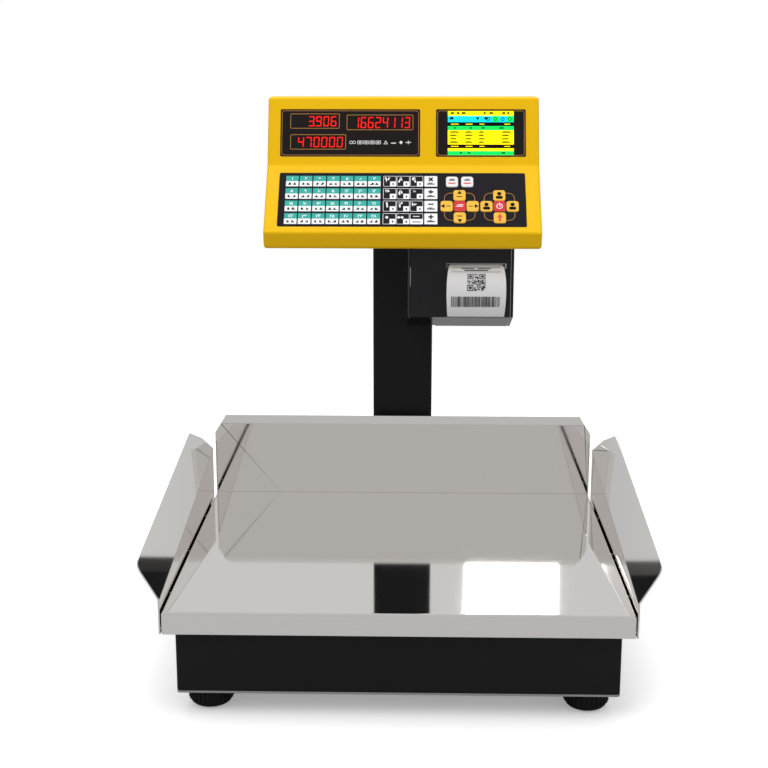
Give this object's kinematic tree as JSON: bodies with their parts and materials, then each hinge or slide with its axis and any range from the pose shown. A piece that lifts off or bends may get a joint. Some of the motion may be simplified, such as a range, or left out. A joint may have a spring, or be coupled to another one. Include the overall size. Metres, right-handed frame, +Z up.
{
  "type": "label printing scale",
  "caption": "Counter scale with a flared-sided steel tray on a levelled box base, a post with a slanted yellow console, and a label printer under it.",
  "frame": {"origin": "floor level, at the middle of the width and depth", "axes": "+Z up, -Y towards the user, +X to the right of the user"},
  "size_m": [0.4432, 0.4121, 0.5088],
  "materials": {
    "tray_steel": "mirror-polished stainless sheet",
    "base_paint": "satin black powder coat",
    "zinc_plate": "bright zinc plate",
    "fastener_steel": "zinc-plated",
    "cast_aluminium": "machined",
    "rubber_black": "matt",
    "knob_plastic": "satin moulded, ribbed",
    "moulded_black": "satin",
    "supply_case": "folded sheet",
    "yellow_shell": "semi-gloss, warm yellow",
    "window_black": "gloss, printed black",
    "board_green": "solder mask",
    "display_module": "dark",
    "keypad_black": "printed polyester film",
    "key_red": "semi-gloss",
    "key_white": "semi-gloss",
    "key_yellow": "semi-gloss",
    "printer_black": "gloss black",
    "print_head_metal": "anodised",
    "roller_rubber": "smooth rubber on a steel shaft",
    "motor_can": "drawn can",
    "gear_nylon": "natural nylon",
    "label_paper": "thermal label stock"
  },
  "bodies": {
    "base": {"base_housing": "base_paint", "base_plate": "zinc_plate", "base_screws": "fastener_steel", "cell_base_block": "cast_aluminium", "cell_bolts": "fastener_steel", "customer_display": "display_module", "head_bracket": "zinc_plate", "head_front_shell": "yellow_shell", "head_rear_shell": "yellow_shell", "head_screws": "fastener_steel", "key_board": "board_green", "keypad_overlay": "keypad_black", "label": "label_paper", "lcd_module": "display_module", "lcd_window": "window_black", "led_board": "board_green", "led_window": "window_black", "load_cell": "cast_aluminium", "main_board": "board_green", "port_panel": "moulded_black", "post_bolts": "fastener_steel", "post_bracket": "base_paint", "post_tube": "base_paint", "power_inlet": "moulded_black", "power_supply": "supply_case", "print_head": "print_head_metal", "printer_housing": "printer_black", "stepper_motor": "motor_can"},
    "platform": {"platform": "cast_aluminium", "platform_pads": "rubber_black"},
    "tray": {"tray_pan": "tray_steel", "left_guard": "tray_steel", "right_guard": "tray_steel", "back_guard": "tray_steel", "guard_screws": "fastener_steel"},
    "rocker": {"power_rocker": "moulded_black"},
    "printer_door": {"printer_door": "printer_black"},
    "platen_roller": {"platen_roller": "roller_rubber"},
    "motor_pinion": {"motor_pinion": "gear_nylon"},
    "label_roll": {"label_roll": "label_paper"},
    "foot_fl": {"foot_pad_fl": "rubber_black"},
    "knob_fl": {"foot_knob_fl": "knob_plastic"},
    "foot_fr": {"foot_pad_fr": "rubber_black"},
    "knob_fr": {"foot_knob_fr": "knob_plastic"},
    "foot_rl": {"foot_pad_rl": "rubber_black"},
    "knob_rl": {"foot_knob_rl": "knob_plastic"},
    "foot_rr": {"foot_pad_rr": "rubber_black"},
    "knob_rr": {"foot_knob_rr": "knob_plastic"},
    "key_shift": {"key_shift": "key_white"},
    "key_clear": {"key_clear": "key_white"},
    "key_menu_centre": {"key_menu_centre": "key_red"},
    "key_menu_left": {"key_menu_left": "key_yellow"},
    "key_menu_right": {"key_menu_right": "key_yellow"},
    "key_menu_up": {"key_menu_up": "key_yellow"},
    "key_menu_down": {"key_menu_down": "key_yellow"},
    "key_clerk_centre": {"key_clerk_centre": "key_red"},
    "key_clerk_left": {"key_clerk_left": "key_yellow"},
    "key_clerk_right": {"key_clerk_right": "key_yellow"},
    "key_clerk_up": {"key_clerk_up": "key_yellow"},
    "key_clerk_down": {"key_clerk_down": "key_yellow"}
  },
  "joints": [
    {"name": "weigh_travel", "type": "slide", "parent": "base", "child": "platform", "axis": [0, 0, -1], "range_m": [0, 0.0005], "stiffness_N_per_m": 600000, "springref_m": -0.0001, "deforming": ["load_cell"]},
    {"name": "tray_lift", "type": "slide", "parent": "platform", "child": "tray", "axis": [0, 0, 1], "range_m": [0, 0.06]},
    {"name": "foot_fl_extend", "type": "slide", "parent": "base", "child": "foot_fl", "axis": [0, 0, -1], "range_m": [0, 0.006]},
    {"name": "knob_fl_turn", "type": "hinge", "parent": "foot_fl", "child": "knob_fl", "pos_m": [-0.1625, -0.171, 0], "axis": [0, 0, -1], "range_deg": [0, 1440]},
    {"name": "foot_fr_extend", "type": "slide", "parent": "base", "child": "foot_fr", "axis": [0, 0, -1], "range_m": [0, 0.006]},
    {"name": "knob_fr_turn", "type": "hinge", "parent": "foot_fr", "child": "knob_fr", "pos_m": [0.1625, -0.171, 0], "axis": [0, 0, -1], "range_deg": [0, 1440]},
    {"name": "foot_rl_extend", "type": "slide", "parent": "base", "child": "foot_rl", "axis": [0, 0, -1], "range_m": [0, 0.006]},
    {"name": "knob_rl_turn", "type": "hinge", "parent": "foot_rl", "child": "knob_rl", "pos_m": [-0.1625, 0.113, 0], "axis": [0, 0, -1], "range_deg": [0, 1440]},
    {"name": "foot_rr_extend", "type": "slide", "parent": "base", "child": "foot_rr", "axis": [0, 0, -1], "range_m": [0, 0.006]},
    {"name": "knob_rr_turn", "type": "hinge", "parent": "foot_rr", "child": "knob_rr", "pos_m": [0.1625, 0.113, 0], "axis": [0, 0, -1], "range_deg": [0, 1440]},
    {"name": "power_rocker_tilt", "type": "hinge", "parent": "base", "child": "rocker", "pos_m": [-0.086, 0.139, 0.052], "axis": [1, 0, 0], "range_deg": [-16, 0]},
    {"name": "printer_door_swing", "type": "hinge", "parent": "base", "child": "printer_door", "pos_m": [0.1096, 0.1999, 0.316], "axis": [0, 0, 1], "range_deg": [0, 110]},
    {"name": "platen_turn", "type": "hinge", "parent": "base", "child": "platen_roller", "pos_m": [0.074, 0.1105, 0.338], "axis": [1, 0, 0], "continuous": true},
    {"name": "pinion_turn", "type": "hinge", "parent": "base", "child": "motor_pinion", "pos_m": [0.036, 0.12099, 0.3295], "axis": [1, 0, 0], "continuous": true},
    {"name": "label_roll_turn", "type": "hinge", "parent": "base", "child": "label_roll", "pos_m": [0.074, 0.154, 0.316], "axis": [1, 0, 0], "continuous": true},
    {"name": "key_shift_press", "type": "slide", "parent": "base", "child": "key_shift", "axis": [0, 0.766, -0.6428], "range_m": [0, 0.0005], "stiffness_N_per_m": 1500},
    {"name": "key_clear_press", "type": "slide", "parent": "base", "child": "key_clear", "axis": [0, 0.766, -0.6428], "range_m": [0, 0.0005], "stiffness_N_per_m": 1500},
    {"name": "key_menu_centre_press", "type": "slide", "parent": "base", "child": "key_menu_centre", "axis": [0, 0.766, -0.6428], "range_m": [0, 0.0005], "stiffness_N_per_m": 1500},
    {"name": "key_menu_left_press", "type": "slide", "parent": "base", "child": "key_menu_left", "axis": [0, 0.766, -0.6428], "range_m": [0, 0.0005], "stiffness_N_per_m": 1500},
    {"name": "key_menu_right_press", "type": "slide", "parent": "base", "child": "key_menu_right", "axis": [0, 0.766, -0.6428], "range_m": [0, 0.0005], "stiffness_N_per_m": 1500},
    {"name": "key_menu_up_press", "type": "slide", "parent": "base", "child": "key_menu_up", "axis": [0, 0.766, -0.6428], "range_m": [0, 0.0005], "stiffness_N_per_m": 1500},
    {"name": "key_menu_down_press", "type": "slide", "parent": "base", "child": "key_menu_down", "axis": [0, 0.766, -0.6428], "range_m": [0, 0.0005], "stiffness_N_per_m": 1500},
    {"name": "key_clerk_centre_press", "type": "slide", "parent": "base", "child": "key_clerk_centre", "axis": [0, 0.766, -0.6428], "range_m": [0, 0.0005], "stiffness_N_per_m": 1500},
    {"name": "key_clerk_left_press", "type": "slide", "parent": "base", "child": "key_clerk_left", "axis": [0, 0.766, -0.6428], "range_m": [0, 0.0005], "stiffness_N_per_m": 1500},
    {"name": "key_clerk_right_press", "type": "slide", "parent": "base", "child": "key_clerk_right", "axis": [0, 0.766, -0.6428], "range_m": [0, 0.0005], "stiffness_N_per_m": 1500},
    {"name": "key_clerk_up_press", "type": "slide", "parent": "base", "child": "key_clerk_up", "axis": [0, 0.766, -0.6428], "range_m": [0, 0.0005], "stiffness_N_per_m": 1500},
    {"name": "key_clerk_down_press", "type": "slide", "parent": "base", "child": "key_clerk_down", "axis": [0, 0.766, -0.6428], "range_m": [0, 0.0005], "stiffness_N_per_m": 1500}
  ],
  "couplings": [
    {"joint": "foot_fl_extend", "follows": "knob_fl_turn", "m_per_rad": 0.00023873},
    {"joint": "foot_fr_extend", "follows": "knob_fr_turn", "m_per_rad": 0.00023873},
    {"joint": "foot_rl_extend", "follows": "knob_rl_turn", "m_per_rad": 0.00023873},
    {"joint": "foot_rr_extend", "follows": "knob_rr_turn", "m_per_rad": 0.00023873},
    {"joint": "pinion_turn", "follows": "platen_turn", "ratio": -2},
    {"joint": "label_roll_turn", "follows": "platen_turn", "ratio": 0.16667}
  ]
}
